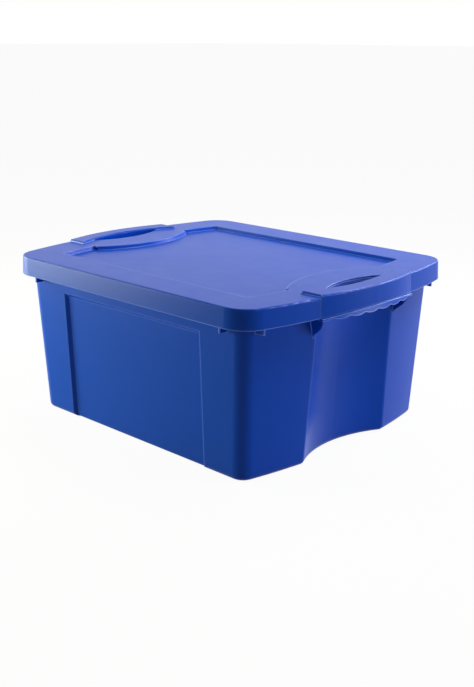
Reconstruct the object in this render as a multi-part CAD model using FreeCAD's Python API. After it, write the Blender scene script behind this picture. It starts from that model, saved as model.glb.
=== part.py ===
"""Lidded storage box: a one-piece moulded tub and a one-piece moulded lift-off lid. Millimetres, +Z up."""
import FreeCAD, Part
import math
import os

# Lid outline. Ends are arcs about axes on the X axis.
RIM_LEVEL = 221.0
LID_HALF_WIDTH = 200.0
LID_END_REACH = 241.7
LID_ARC_RADIUS = 735.9
LID_CORNER_R = 36.0
SKIRT_DEPTH = 25.2
SKIRT_FLARE = 1.3
LID_THICKNESS = 2.5
TOP_EDGE_ROUND = 2.0

# Tub walls, set in from the lid at the base and leaning outward towards the rim.
SIDE_SET_IN = 23.9
END_SET_IN = 28.4
SIDE_DRAFT = 0.0437
END_DRAFT = 0.0546
TUB_ARC_RADIUS = 755.3
TUB_CORNER_R = 19.0
WALL = 2.5
FLOOR = 3.0
BOTTOM_ROUND = 7.0

# Hollow in each end wall that gives room for the hand.
SCOOP_DEPTH = 25.4
SCOOP_RADIUS = 168.0
SCOOP_TAPER = 0.14
FOLD_ROUND = 8.0

# Sunk panel on each long side.
PANEL_HALF_LENGTH = 130.0
PANEL_DEPTH = 5.0
PANEL_SET_DOWN = 42.5
PANEL_BOTTOM_ROUND = 2.5

# Lid top: sunk stacking panel with an inward bulge beside each handle.
BAND_WIDTH = 50.5
STACK_DEPTH = 5.0
STACK_SLOPE = 2.5
BULGE_WIDTH = 48.0
BULGE_RADIUS = 150.0
BULGE_HALF_SPAN = 86.0

# Arch handle on each end of the lid and the crescent slot behind it.
ARCH_OVERHANG = 8.9
ARCH_RADIUS = 296.0
ARCH_HALF_SPAN = 90.0
ARCH_CROWN = 3.0
ARCH_LIFT = 4.3
BAR_WIDTH = 24.1
SLOT_WIDTH = 26.5
SLOT_INNER_R = 115.0
SLOT_OUTER_R = 202.0
HEM_DEPTH = 10.0

# Tub rim under the lid.
CLEARANCE = 0.6
SEAT_GAP = 0.3
RIM_THICKNESS = 2.5
RIM_LIP_DEPTH = 14.0

# Handle lip of the tub with its finger waves, and the webs that hold it.
LIP_DROP = 3.4
LIP_FLARE = 2.5
WAVE_PITCH = 25.0
WAVE_COUNT = 6
WAVE_HEIGHT = 2.2
WEB_THICKNESS = 4.0
WEB_ROUND = 1.4
WEB_DROP = 64.0
WEB_FOOT_SET_IN = 13.0
WEB_TIP_SET_IN = 3.4
WEB_FOOT_PULL = 0.6
WEB_TIP_PULL = 0.4
WEB_TIP_RUN = 0.82

# Gusset ribs under the rim, two beside each corner.
GUSSET_THICKNESS = 2.5
GUSSET_DROP = 8.5
GUSSET_END_SET_IN = 33.0
GUSSET_SIDE_SET_IN = 66.2

MARGIN = 20.0
ENDS = (1.0, -1.0)
SKIRT_LEVEL = RIM_LEVEL - SKIRT_DEPTH
UNDER_BAND = RIM_LEVEL - LID_THICKNESS
SEAT_LEVEL = UNDER_BAND - SEAT_GAP
LIP_LEVEL = SKIRT_LEVEL - LIP_DROP
LID_ARC_CENTRE = LID_ARC_RADIUS - LID_END_REACH
BASE_HALF_WIDTH = LID_HALF_WIDTH - SIDE_SET_IN
BASE_END_REACH = LID_END_REACH - END_SET_IN
TUB_ARC_CENTRE = TUB_ARC_RADIUS - BASE_END_REACH
SCOOP_BACK_X = BASE_END_REACH - SCOOP_DEPTH
PANEL_TOP = RIM_LEVEL - PANEL_SET_DOWN
ARCH_REACH = LID_END_REACH + ARCH_OVERHANG
SLOT_OUTER_X = ARCH_REACH - BAR_WIDTH
SLOT_INNER_X = SLOT_OUTER_X - SLOT_WIDTH
BULGE_REACH = SLOT_INNER_X - BULGE_WIDTH
GUSSET_END_Y = LID_HALF_WIDTH - GUSSET_END_SET_IN
GUSSET_SIDE_X = LID_END_REACH - GUSSET_SIDE_SET_IN
SET_BACK = LID_THICKNESS + CLEARANCE
V = FreeCAD.Vector


def unit(x, y):
    length = math.hypot(x, y)
    return x / length, y / length


def arc(a, b, c):
    return Part.Arc(a, b, c).toShape()


def arc_between(cx, cy, radius, start, end, z):
    """Short arc about (cx, cy) from start to end, both given as plan points."""
    u = unit(start[0] - cx, start[1] - cy)
    v = unit(end[0] - cx, end[1] - cy)
    m = unit(u[0] + v[0], u[1] + v[1])
    middle = V(cx + radius * m[0], cy + radius * m[1], z)
    return arc(V(start[0], start[1], z), middle, V(end[0], end[1], z))


def quarter(cx, end_r, half_w, corner_r, scoop, z):
    """Edges from the middle of the +X end to the middle of the +Y side."""
    fx = cx + math.sqrt((end_r - corner_r) ** 2 - (half_w - corner_r) ** 2)
    fy = half_w - corner_r
    u = unit(fx - cx, fy)
    on_end = (cx + end_r * u[0], end_r * u[1])
    on_side = (fx, half_w)
    edges = []
    if scoop is None:
        edges.append(arc_between(cx, 0, end_r, (cx + end_r, 0), on_end, z))
    else:
        sx, scoop_r, fold = scoop
        gap = sx - cx
        along = ((end_r - fold) ** 2 - (scoop_r + fold) ** 2 + gap ** 2) / (2 * gap)
        fold_x = cx + along
        fold_y = math.sqrt((end_r - fold) ** 2 - along ** 2)
        w = unit(fold_x - cx, fold_y)
        s = unit(fold_x - sx, fold_y)
        on_wall = (cx + end_r * w[0], end_r * w[1])
        on_scoop = (sx + scoop_r * s[0], scoop_r * s[1])
        edges.append(arc_between(sx, 0, scoop_r, (sx - scoop_r, 0), on_scoop, z))
        edges.append(arc_between(fold_x, fold_y, fold, on_scoop, on_wall, z))
        edges.append(arc_between(cx, 0, end_r, on_wall, on_end, z))
    edges.append(arc_between(fx, fy, corner_r, on_end, on_side, z))
    edges.append(Part.makeLine(V(fx, half_w, z), V(0, half_w, z)))
    return edges


def outline(cx, end_r, half_w, corner_r, scoop, z):
    """Closed plan outline, the same on all four quarters."""
    first = Part.Wire(quarter(cx, end_r, half_w, corner_r, scoop, z))
    second = first.mirror(V(0, 0, 0), V(1, 0, 0))
    edges = list(first.Edges) + list(second.Edges)
    edges += [e.mirror(V(0, 0, 0), V(0, 1, 0)) for e in edges]
    return Part.Wire(Part.__sortEdges__(edges))


def loft(lower, upper):
    return Part.makeLoft([lower, upper], True, True)


def tub_section(inset, scooped, z):
    """Outline of the tub wall at height z, moved inward by inset."""
    end_r = TUB_ARC_RADIUS + END_DRAFT * z - inset
    half_w = BASE_HALF_WIDTH + SIDE_DRAFT * z - inset
    scoop_r = SCOOP_RADIUS - SCOOP_TAPER * z
    scoop_x = SCOOP_BACK_X + END_DRAFT * z + scoop_r
    scoop = (scoop_x, scoop_r + inset, FOLD_ROUND - inset) if scooped else None
    return outline(-TUB_ARC_CENTRE, end_r, half_w, TUB_CORNER_R - inset, scoop, z)


def rounded_form(inset, scooped, low, high, radius):
    """Drafted solid between two heights with a rounded bottom edge."""
    solid = loft(tub_section(inset, scooped, low), tub_section(inset, scooped, high))
    bottom = [e for e in solid.Edges if e.BoundBox.ZMax < low + 0.01]
    return solid.makeFillet(radius, bottom)


def side_pocket(inset):
    """Slope-sided cutter for one side panel, standing against the -Y wall."""
    reach = PANEL_DEPTH + MARGIN
    spread = inset * math.sqrt(2)
    outer = PANEL_HALF_LENGTH + spread + MARGIN
    inner = PANEL_HALF_LENGTH + spread - reach
    lean = math.hypot(1.0, SIDE_DRAFT)
    top = PANEL_TOP * lean + spread
    sections = []
    for y, half, level in ((-MARGIN, outer, top + MARGIN), (reach, inner, top - reach)):
        corners = [V(-half, y, -MARGIN), V(half, y, -MARGIN), V(half, y, level), V(-half, y, level)]
        sections.append(Part.makePolygon(corners + corners[:1]))
    solid = loft(sections[0], sections[1])
    solid.rotate(V(0, 0, 0), V(1, 0, 0), math.degrees(math.atan(SIDE_DRAFT)))
    solid.translate(V(0, -BASE_HALF_WIDTH, 0))
    return solid


def tub_form(inset, low, high, radius, panel_radius):
    """The tub's outer surface moved inward by inset, as a solid."""
    solid = rounded_form(inset, True, low, high, radius)
    core = rounded_form(inset + PANEL_DEPTH, False, low, high, panel_radius)
    cutters = [pocket.cut(core) for pocket in both_ends(side_pocket(inset))]
    return solid.cut(cutters)


def lid_section(inset, flare, z):
    """Outline of the lid at height z, moved inward by inset and outward by flare."""
    end_r = LID_ARC_RADIUS - inset + flare
    half_w = LID_HALF_WIDTH - inset + flare
    return outline(-LID_ARC_CENTRE, end_r, half_w, LID_CORNER_R - inset + flare, None, z)


def lid_form(inset, low, high):
    """Flared lid outline as a solid between two heights."""
    flare_low = SKIRT_FLARE * (RIM_LEVEL - low) / SKIRT_DEPTH
    flare_high = SKIRT_FLARE * (RIM_LEVEL - high) / SKIRT_DEPTH
    return loft(lid_section(inset, flare_low, low), lid_section(inset, flare_high, high))


def cylinder(x, radius, low, high):
    return Part.makeCylinder(radius, high - low, V(x, 0, low))


def box(x0, x1, y0, y1, z0, z1):
    return Part.makeBox(x1 - x0, y1 - y0, z1 - z0, V(x0, y0, z0))


def bow(inset, low, high, flare=SKIRT_FLARE / SKIRT_DEPTH):
    """Round bar whose surface is one arch's bowed face moved inward by inset, widening downward."""
    low_r = ARCH_RADIUS - inset + flare * (RIM_LEVEL - low)
    high_r = ARCH_RADIUS - inset + flare * (RIM_LEVEL - high)
    return Part.makeCone(low_r, high_r, high - low, V(ARCH_REACH - ARCH_RADIUS, 0, low))


def arch_body(inset, low, high):
    """Plan of one arch handle: the bowed strip beyond the lid's own end."""
    half = ARCH_HALF_SPAN - inset
    strip = box(SLOT_INNER_X, ARCH_REACH + MARGIN, -half, half, low, high)
    return strip.common(bow(inset, low, high))


def slot_body(outer_growth, inner_growth, low, high):
    """Crescent between the slot's two arcs."""
    inner = cylinder(SLOT_INNER_X + SLOT_INNER_R, SLOT_INNER_R + inner_growth, low, high)
    outer = cylinder(SLOT_OUTER_X - SLOT_OUTER_R, SLOT_OUTER_R + outer_growth, low, high)
    return inner.common(outer)


def arch_hollow(drop):
    """Space below the arch's curved bottom edge: highest in the middle, drop lower than the lid's."""
    half = ARCH_HALF_SPAN
    level = SKIRT_LEVEL - drop
    floor = level - MARGIN
    x = SLOT_INNER_X
    rise = arc(V(x, -half, level), V(x, 0, level + ARCH_LIFT), V(x, half, level))
    sides = Part.makePolygon([V(x, half, level), V(x, half, floor), V(x, -half, floor), V(x, -half, level)])
    face = Part.Face(Part.Wire([rise] + sides.Edges))
    return face.extrude(V(ARCH_REACH + MARGIN - x, 0, 0))


def stack_pocket(grow, low, high, slope):
    """Sunk panel of the lid top, with the bulges beside the handles left standing."""
    half = LID_HALF_WIDTH - BAND_WIDTH + grow
    length = LID_END_REACH + MARGIN
    profile = [V(-length, slope - half, low), V(-length, half - slope, low)]
    profile += [V(-length, half, high), V(-length, -half, high)]
    solid = Part.Face(Part.makePolygon(profile + profile[:1])).extrude(V(2 * length, 0, 0))
    end_r = LID_ARC_RADIUS - BAND_WIDTH + grow
    bulge_r = BULGE_RADIUS - grow
    for end in ENDS:
        centre = V(-end * LID_ARC_CENTRE, 0, low)
        solid = solid.common(Part.makeCone(end_r - slope, end_r, high - low, centre))
    half_bulge = BULGE_HALF_SPAN - grow
    span = box(-length, length, -half_bulge, half_bulge, low, high)
    for end in ENDS:
        centre = V(end * (BULGE_REACH + BULGE_RADIUS), 0, low)
        solid = solid.cut(Part.makeCone(bulge_r + slope, bulge_r, high - low, centre).common(span))
    return solid


def both_ends(solid):
    """The solid and its copy turned half round the upright axis."""
    turned = solid.copy()
    turned.rotate(V(0, 0, 0), V(0, 0, 1), 180)
    return [solid, turned]


def round_top(solid, level):
    """The solid with the edges of its top face rounded."""
    edges = [e for e in solid.Edges if e.BoundBox.ZMin > level - 0.01]
    return solid.makeFillet(TOP_EDGE_ROUND, edges)


def make_lid():
    top = RIM_LEVEL + ARCH_CROWN
    shell = round_top(lid_form(0.0, SKIRT_LEVEL, RIM_LEVEL), RIM_LEVEL)
    bar_zone = cylinder(SLOT_OUTER_X - SLOT_OUTER_R, SLOT_OUTER_R, SKIRT_LEVEL, top)
    crown = round_top(arch_body(0.0, SKIRT_LEVEL, top).cut(bar_zone), top)
    shell = shell.fuse(both_ends(crown))
    hollow = lid_form(LID_THICKNESS, SKIRT_LEVEL - 1.0, UNDER_BAND)
    panel_walls = stack_pocket(LID_THICKNESS, UNDER_BAND - STACK_DEPTH, UNDER_BAND + 1.0, STACK_SLOPE)
    hollow = hollow.cut(panel_walls)
    bar_inside = cylinder(SLOT_OUTER_X - SLOT_OUTER_R, SLOT_OUTER_R + LID_THICKNESS, SKIRT_LEVEL - 1.0, top)
    under_crown = arch_body(LID_THICKNESS, SKIRT_LEVEL - 1.0, top - LID_THICKNESS).cut(bar_inside)
    under_arch = arch_body(LID_THICKNESS, SKIRT_LEVEL - 1.0, UNDER_BAND)
    hollow = hollow.fuse(both_ends(under_arch) + both_ends(under_crown))
    lid = shell.cut(hollow)
    lid = lid.cut(stack_pocket(0.0, RIM_LEVEL - STACK_DEPTH, RIM_LEVEL + 0.01, STACK_SLOPE))
    hem_low = UNDER_BAND - HEM_DEPTH
    hem = slot_body(LID_THICKNESS, -CLEARANCE, hem_low, UNDER_BAND + 1.0)
    hem = hem.cut(slot_body(0.0, MARGIN, hem_low - 1.0, top))
    lid = lid.fuse(both_ends(hem))
    lid = lid.cut(both_ends(slot_body(0.0, 0.0, hem_low - 1.0, top + 1.0)))
    return lid.cut(both_ends(arch_hollow(0.0))).removeSplitter()


def wave_cutter():
    """Everything below the waved edge of a handle lip."""
    x = SLOT_INNER_X
    half = WAVE_PITCH * WAVE_COUNT / 2
    floor = LIP_LEVEL - MARGIN
    cusp = LIP_LEVEL + WAVE_HEIGHT
    edges = []
    for i in range(WAVE_COUNT):
        start = -half + i * WAVE_PITCH
        middle = V(x, start + WAVE_PITCH / 2, LIP_LEVEL)
        edges.append(arc(V(x, start, cusp), middle, V(x, start + WAVE_PITCH, cusp)))
    corners = [(half, cusp), (ARCH_HALF_SPAN, LIP_LEVEL), (ARCH_HALF_SPAN, floor)]
    corners += [(-ARCH_HALF_SPAN, floor), (-ARCH_HALF_SPAN, LIP_LEVEL), (-half, cusp)]
    edges += Part.makePolygon([V(x, y, z) for y, z in corners]).Edges
    return Part.Face(Part.Wire(Part.__sortEdges__(edges))).extrude(V(ARCH_REACH + MARGIN - x, 0, 0))


def lip_bow():
    """Round bar whose surface is a lip's face: it leaves the arch's face and spreads downward."""
    tall = SKIRT_LEVEL + ARCH_LIFT - LIP_LEVEL
    flush = ARCH_RADIUS + SKIRT_FLARE
    return Part.makeCone(flush + LIP_FLARE, flush, tall, V(ARCH_REACH - ARCH_RADIUS, 0, LIP_LEVEL))


def handle_lip():
    """Lip of the tub below one arch: it spreads from the arch's face and is waved along its lower edge."""
    face = box(SLOT_INNER_X, ARCH_REACH + MARGIN, -ARCH_HALF_SPAN, ARCH_HALF_SPAN, LIP_LEVEL, RIM_LEVEL)
    face = face.common(lip_bow()).common(arch_hollow(CLEARANCE))
    back = arch_body(SET_BACK, LIP_LEVEL, SEAT_LEVEL)
    inside = bow(SET_BACK + RIM_THICKNESS, LIP_LEVEL - 1.0, SEAT_LEVEL + 1.0)
    return face.fuse(back).cut(inside).cut(wave_cutter())


def web(side):
    """Side plate of one handle: its ogee edge sweeps from the wall's fold out to the lip's end."""
    low = RIM_LEVEL - WEB_DROP
    top = SKIRT_LEVEL - CLEARANCE
    foot_y = ARCH_HALF_SPAN - WEB_FOOT_SET_IN
    lean = math.atan2(WEB_FOOT_SET_IN - WEB_TIP_SET_IN, top - low)
    wall_x = -TUB_ARC_CENTRE + math.sqrt((TUB_ARC_RADIUS + END_DRAFT * low) ** 2 - foot_y ** 2)
    tip_x = ARCH_REACH - ARCH_RADIUS + math.sqrt((ARCH_RADIUS + SKIRT_FLARE) ** 2 - ARCH_HALF_SPAN ** 2)
    half = WEB_THICKNESS / 2
    rise = (LIP_LEVEL - low) / math.cos(lean)
    run = tip_x - wall_x
    foot = V(wall_x - 1.0, -half, 0.0)
    tip = V(tip_x, -half, rise)
    ogee = Part.BezierCurve()
    above_foot = V(foot.x, -half, WEB_FOOT_PULL * rise)
    below_tip = V(foot.x + WEB_TIP_RUN * run, -half, WEB_TIP_PULL * rise)
    ogee.setPoles([foot, above_foot, below_tip, tip])
    back_x = wall_x - 2 * WALL
    over = rise + MARGIN
    rest = [tip, V(tip_x, -half, over), V(back_x, -half, over), V(back_x, -half, 0.0), foot]
    face = Part.Face(Part.Wire([ogee.toShape()] + Part.makePolygon(rest).Edges))
    plate = face.extrude(V(0, WEB_THICKNESS, 0))
    curved = [e for e in plate.Edges if not isinstance(e.Curve, Part.Line)]
    plate = plate.makeFillet(WEB_ROUND, curved)
    plate.rotate(V(0, 0, 0), V(1, 0, 0), -side * math.degrees(lean))
    plate.translate(V(0, side * foot_y, low))
    keep = box(back_x, ARCH_REACH + MARGIN, -ARCH_HALF_SPAN, ARCH_HALF_SPAN, low - 1.0, top)
    plate = plate.common(keep)
    inner = side * (ARCH_HALF_SPAN - SET_BACK - WEB_THICKNESS)
    outer = side * (ARCH_HALF_SPAN - SET_BACK)
    stay = box(back_x, ARCH_REACH, min(inner, outer), max(inner, outer), LIP_LEVEL - 2.0, SEAT_LEVEL - 1.0)
    return plate.fuse(stay.common(bow(SET_BACK, LIP_LEVEL - 2.0, SEAT_LEVEL - 1.0)))


def gusset(x, y, along_x):
    """Rib under the rim, from inside the wall out to just inside the skirt."""
    half = GUSSET_THICKNESS / 2
    low = SKIRT_LEVEL - GUSSET_DROP
    if along_x:
        return box(x - MARGIN, x, y - half, y + half, low, SEAT_LEVEL - RIM_THICKNESS / 2)
    return box(x - half, x + half, y - MARGIN, y, low, SEAT_LEVEL - RIM_THICKNESS / 2)


def make_tub():
    body = tub_form(0.0, 0.0, SEAT_LEVEL, BOTTOM_ROUND, PANEL_BOTTOM_ROUND)
    cavity = tub_form(WALL, FLOOR, SEAT_LEVEL + 1.0, BOTTOM_ROUND - WALL - 0.3, PANEL_BOTTOM_ROUND)
    inset = SET_BACK
    lip_low = SEAT_LEVEL - RIM_LIP_DEPTH
    rim = loft(lid_section(inset, 0.0, lip_low), lid_section(inset, 0.0, SEAT_LEVEL))
    plate = arch_body(inset, SEAT_LEVEL - RIM_THICKNESS, SEAT_LEVEL)
    lip_gap = loft(
        lid_section(inset + RIM_THICKNESS, 0.0, lip_low - 1.0),
        lid_section(inset + RIM_THICKNESS, 0.0, SEAT_LEVEL - RIM_THICKNESS),
    )
    under_rim = SEAT_LEVEL - RIM_THICKNESS
    zone = ARCH_HALF_SPAN - inset - RIM_THICKNESS
    handle_zone = box(SLOT_INNER_X, ARCH_REACH + MARGIN, -zone, zone, lip_low - 1.0, under_rim)
    rim = rim.cut(lip_gap).cut(both_ends(handle_zone))
    pieces = both_ends(handle_lip()) + both_ends(plate)
    end_x = -LID_ARC_CENTRE + math.sqrt((LID_ARC_RADIUS - inset) ** 2 - GUSSET_END_Y ** 2) - 1.0
    for side in ENDS:
        pieces += both_ends(web(side))
        pieces += both_ends(gusset(end_x, side * GUSSET_END_Y, True))
        pieces += both_ends(gusset(side * GUSSET_SIDE_X, LID_HALF_WIDTH - inset - 0.5, False))
    solid = body.fuse([rim] + pieces)
    solid = solid.cut(cavity)
    slots = both_ends(slot_body(LID_THICKNESS + CLEARANCE, 0.0, SEAT_LEVEL - RIM_THICKNESS - 1.0, RIM_LEVEL))
    return solid.cut(slots).removeSplitter()


os.makedirs("parts", exist_ok=True)
make_tub().exportStep("parts/tub.step")
make_lid().exportStep("parts/lid.step")
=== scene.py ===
import math

import bpy
from mathutils import Matrix, Vector

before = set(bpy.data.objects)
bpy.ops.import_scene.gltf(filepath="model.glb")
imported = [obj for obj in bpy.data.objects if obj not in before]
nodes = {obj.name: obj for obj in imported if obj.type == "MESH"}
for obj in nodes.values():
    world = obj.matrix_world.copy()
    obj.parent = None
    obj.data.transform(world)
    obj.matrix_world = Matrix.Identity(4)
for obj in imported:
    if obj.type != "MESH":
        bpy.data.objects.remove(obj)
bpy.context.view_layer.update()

scene = bpy.context.scene

# ---------------------------------------------------------------- camera
EYE = Vector((0.9601, -0.9898, 0.5133))
AIM = Vector((0.0, 0.0, 0.0955))
FOCAL_MM = 53.7
SENSOR_MM = 36.0
ROLL = 0.004
SHIFT_X = 0.0122
SHIFT_Y = 0.0003


def add_camera():
    data = bpy.data.cameras.new("camera")
    data.lens = FOCAL_MM
    data.sensor_width = SENSOR_MM
    data.sensor_fit = "AUTO"
    data.shift_x = SHIFT_X
    data.shift_y = SHIFT_Y
    camera = bpy.data.objects.new("camera", data)
    look = (AIM - EYE).to_track_quat("-Z", "Y").to_matrix().to_4x4()
    camera.matrix_world = Matrix.Translation(EYE) @ look @ Matrix.Rotation(ROLL, 4, "Z")
    scene.collection.objects.link(camera)
    scene.camera = camera


# ---------------------------------------------------------------- materials
BLUE = (0.0, 0.075, 0.6)
PLASTIC_IOR = 1.22
ROUGHNESS = 0.30

TONE_SCALE = 6.0            # broad, faint unevenness of the colour
TONE_DETAIL = 3.0
TONE_DARKEST = 0.94
TONE_LIGHTEST = 1.05

GLOSS_SCALE = 35.0          # patches of slightly different gloss, as from handling
GLOSS_DETAIL = 6.0
GLOSS_SMOOTHER = 0.04
GLOSS_ROUGHER = 0.05

GRAIN_SCALE = 900.0         # fine texture of the mould
GRAIN_DETAIL = 2.0
GRAIN_STRENGTH = 0.15
GRAIN_DEPTH = 0.0002

BEVEL_SAMPLES = 8
EDGE_RADIUS = 0.0015        # small rounding that the moulded edges have

# painted highlight: a lighter blue painted into the colour along the edges, standing in for
# the light the edges catch
EDGE_PAINTED_HIGHLIGHT = (0.08, 0.26, 1.0)
EDGE_STRIP_RADIUS = 0.0025        # reach of the painted edge highlight and the glossier coat beside an edge
EDGE_STRIP_STARTS = 0.995         # agreement of rounded and flat normal where the painted highlight and coat start
EDGE_STRIP_FULL = 0.9
EDGE_STRIP_MOST = 0.9
EDGE_COAT_ROUGHNESS = 0.25

MIX_A, MIX_B = 6, 7         # colour sockets of a Mix node
MIX_RESULT = 2


def new_material(name):
    material = bpy.data.materials.new(name)
    material.use_nodes = True
    tree = material.node_tree
    return material, tree, tree.nodes["Principled BSDF"]


def add_noise(tree, coords, scale, detail):
    noise = tree.nodes.new("ShaderNodeTexNoise")
    noise.inputs["Scale"].default_value = scale
    noise.inputs["Detail"].default_value = detail
    tree.links.new(coords.outputs["Object"], noise.inputs["Vector"])
    return noise.outputs["Fac"]


def add_colour_mix(tree, share):
    mix = tree.nodes.new("ShaderNodeMix")
    mix.data_type = "RGBA"
    tree.links.new(share, mix.inputs[0])
    return mix


def add_rounded_normal(tree, radius):
    bevel = tree.nodes.new("ShaderNodeBevel")
    bevel.samples = BEVEL_SAMPLES
    bevel.inputs["Radius"].default_value = radius
    return bevel.outputs["Normal"]


def add_edge_highlight_and_gloss_mask(tree):
    """Mask of the strips beside the edges, where the rounded normal leaves the face's own: it
    carries a painted highlight in the colour and a glossier coat.
    """
    add, link = tree.nodes.new, tree.links.new
    face = add("ShaderNodeNewGeometry")
    agree = add("ShaderNodeVectorMath")
    agree.operation = "DOT_PRODUCT"
    link(add_rounded_normal(tree, EDGE_STRIP_RADIUS), agree.inputs[0])
    link(face.outputs["Normal"], agree.inputs[1])
    edge_highlight_and_gloss = add("ShaderNodeMapRange")
    edge_highlight_and_gloss.inputs["From Min"].default_value = EDGE_STRIP_STARTS
    edge_highlight_and_gloss.inputs["From Max"].default_value = EDGE_STRIP_FULL
    edge_highlight_and_gloss.inputs["To Max"].default_value = EDGE_STRIP_MOST
    link(agree.outputs["Value"], edge_highlight_and_gloss.inputs["Value"])
    return edge_highlight_and_gloss.outputs["Result"]


def plastic(name):
    """Satin moulded polypropylene: uneven tone and gloss, mould grain, edges with a painted
    highlight and a glossier coat.
    """
    material, tree, shader = new_material(name)
    add, link = tree.nodes.new, tree.links.new
    coords = add("ShaderNodeTexCoord")

    tone = add_colour_mix(tree, add_noise(tree, coords, TONE_SCALE, TONE_DETAIL))
    tone.inputs[MIX_A].default_value = (*[c * TONE_DARKEST for c in BLUE], 1)
    tone.inputs[MIX_B].default_value = (*[c * TONE_LIGHTEST for c in BLUE], 1)
    # painted highlight: the edges are painted a lighter blue, standing in for the light they
    # catch
    edge_highlight_and_gloss = add_edge_highlight_and_gloss_mask(tree)
    colour = add_colour_mix(tree, edge_highlight_and_gloss)
    colour.inputs[MIX_B].default_value = (*EDGE_PAINTED_HIGHLIGHT, 1)
    link(tone.outputs[MIX_RESULT], colour.inputs[MIX_A])
    link(colour.outputs[MIX_RESULT], shader.inputs["Base Color"])

    gloss = add("ShaderNodeMapRange")
    gloss.inputs["To Min"].default_value = ROUGHNESS - GLOSS_SMOOTHER
    gloss.inputs["To Max"].default_value = ROUGHNESS + GLOSS_ROUGHER
    link(add_noise(tree, coords, GLOSS_SCALE, GLOSS_DETAIL), gloss.inputs["Value"])
    link(gloss.outputs["Result"], shader.inputs["Roughness"])
    shader.inputs["IOR"].default_value = PLASTIC_IOR

    grain = add("ShaderNodeBump")
    grain.inputs["Strength"].default_value = GRAIN_STRENGTH
    grain.inputs["Distance"].default_value = GRAIN_DEPTH
    link(add_noise(tree, coords, GRAIN_SCALE, GRAIN_DETAIL), grain.inputs["Height"])
    link(add_rounded_normal(tree, EDGE_RADIUS), grain.inputs["Normal"])
    link(grain.outputs["Normal"], shader.inputs["Normal"])

    # the same edge mask gives a glossier clear coat, a real gloss
    link(edge_highlight_and_gloss, shader.inputs["Coat Weight"])
    shader.inputs["Coat Roughness"].default_value = EDGE_COAT_ROUGHNESS
    link(grain.outputs["Normal"], shader.inputs["Coat Normal"])
    return material


def white_for_camera(tree, shader, surface_socket, share):
    """Shows a share of the surface as plain white to camera, glossy and transmission rays."""
    add, link = tree.nodes.new, tree.links.new
    rays = add("ShaderNodeLightPath")
    seen = rays.outputs["Is Camera Ray"]
    for kind in ("Is Glossy Ray", "Is Transmission Ray"):
        either = add("ShaderNodeMath")
        either.operation = "MAXIMUM"
        link(seen, either.inputs[0])
        link(rays.outputs[kind], either.inputs[1])
        seen = either.outputs[0]
    part = add("ShaderNodeMath")
    part.operation = "MULTIPLY"
    part.inputs[1].default_value = share
    link(seen, part.inputs[0])
    white = add("ShaderNodeEmission")
    white.inputs["Strength"].default_value = 1.0
    mix = add("ShaderNodeMixShader")
    link(part.outputs[0], mix.inputs["Fac"])
    link(shader.outputs[0], mix.inputs[1])
    link(white.outputs[0], mix.inputs[2])
    link(mix.outputs[0], surface_socket)


# ---------------------------------------------------------------- stage
AMBIENT = 0.02
WORLD_WHITE_SHARE = 1.0
FLOOR_HALF = 40.0
FLOOR_ROUGHNESS = 0.9
FLOOR_TONE = 0.45           # for the light that the floor throws back
FLOOR_SEEN = 0.9            # for the camera, so that the shadow still shows
FLOOR_WHITE_SHARE = 0.95


def add_world():
    world = bpy.data.worlds.new("studio")
    scene.world = world
    world.use_nodes = True
    tree = world.node_tree
    background = tree.nodes["Background"]
    background.inputs["Color"].default_value = (1, 1, 1, 1)
    background.inputs["Strength"].default_value = AMBIENT
    surface = tree.nodes["World Output"].inputs["Surface"]
    white_for_camera(tree, background, surface, WORLD_WHITE_SHARE)


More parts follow.
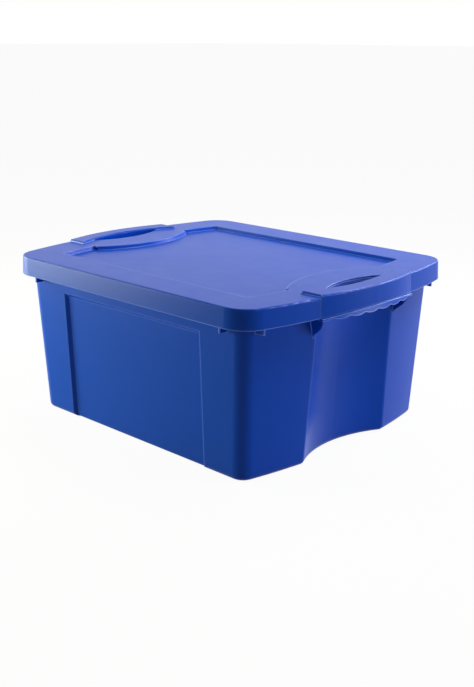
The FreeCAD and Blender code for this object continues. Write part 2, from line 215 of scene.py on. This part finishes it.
def add_floor():
    half = FLOOR_HALF
    corners = [(-half, -half, 0), (half, -half, 0), (half, half, 0), (-half, half, 0)]
    mesh = bpy.data.meshes.new("floor")
    mesh.from_pydata(corners, [], [(0, 1, 2, 3)])
    floor = bpy.data.objects.new("floor", mesh)
    scene.collection.objects.link(floor)

    material, tree, shader = new_material("floor")
    rays = tree.nodes.new("ShaderNodeLightPath")
    tone = add_colour_mix(tree, rays.outputs["Is Camera Ray"])
    tone.inputs[MIX_A].default_value = (FLOOR_TONE, FLOOR_TONE, FLOOR_TONE, 1)
    tone.inputs[MIX_B].default_value = (FLOOR_SEEN, FLOOR_SEEN, FLOOR_SEEN, 1)
    tree.links.new(tone.outputs[MIX_RESULT], shader.inputs["Base Color"])
    shader.inputs["Roughness"].default_value = FLOOR_ROUGHNESS
    surface = tree.nodes["Material Output"].inputs["Surface"]
    white_for_camera(tree, shader, surface, FLOOR_WHITE_SHARE)
    mesh.materials.append(material)


# ---------------------------------------------------------------- light
WARM = (1.0, 1.0, 0.68)
NEUTRAL = (1.0, 0.98, 1.0)
LAMPS_FACE = Vector((0, 0, 0.1))

# name, azimuth and height in degrees, reach, width and tallness in metres, watts, tint;
# azimuth 0 is the -Y side and 90 the +X side
LAMPS = (
    ("left", 304, 8, 1.05, 0.8, 0.4, 12, WARM),
    ("left_high", 285, 30, 1.0, 0.5, 0.5, 2, WARM),
    ("right_low", 128, 9, 2.2, 1.0, 0.6, 14, NEUTRAL),
    ("right_high", 122, 60, 2.2, 0.9, 0.9, 17, NEUTRAL),
    ("behind", 165, 30, 1.1, 0.4, 0.5, 6, NEUTRAL),
    ("back", 212, 60, 2.2, 1.0, 1.0, 9, NEUTRAL),
)


def add_softbox(name, azimuth, height, reach, width, tall, watts, tint):
    """Area lamp that faces the object's middle."""
    turn, lift = math.radians(azimuth), math.radians(height)
    away = Vector((
        math.sin(turn) * math.cos(lift),
        -math.cos(turn) * math.cos(lift),
        math.sin(lift),
    ))
    data = bpy.data.lights.new(name, "AREA")
    data.shape = "RECTANGLE"
    data.size = width
    data.size_y = tall
    data.energy = watts
    data.color = tint
    lamp = bpy.data.objects.new(name, data)
    facing = away.to_track_quat("Z", "Y").to_matrix().to_4x4()
    lamp.matrix_world = Matrix.Translation(LAMPS_FACE + away * reach) @ facing
    scene.collection.objects.link(lamp)


# ---------------------------------------------------------------- scene
add_camera()
add_world()
add_floor()
for lamp in LAMPS:
    add_softbox(*lamp)
for name in ("tub", "lid"):
    slots = nodes[name].data.materials
    slots.clear()
    slots.append(plastic(name + "_plastic"))

scene.view_settings.view_transform = "Standard"
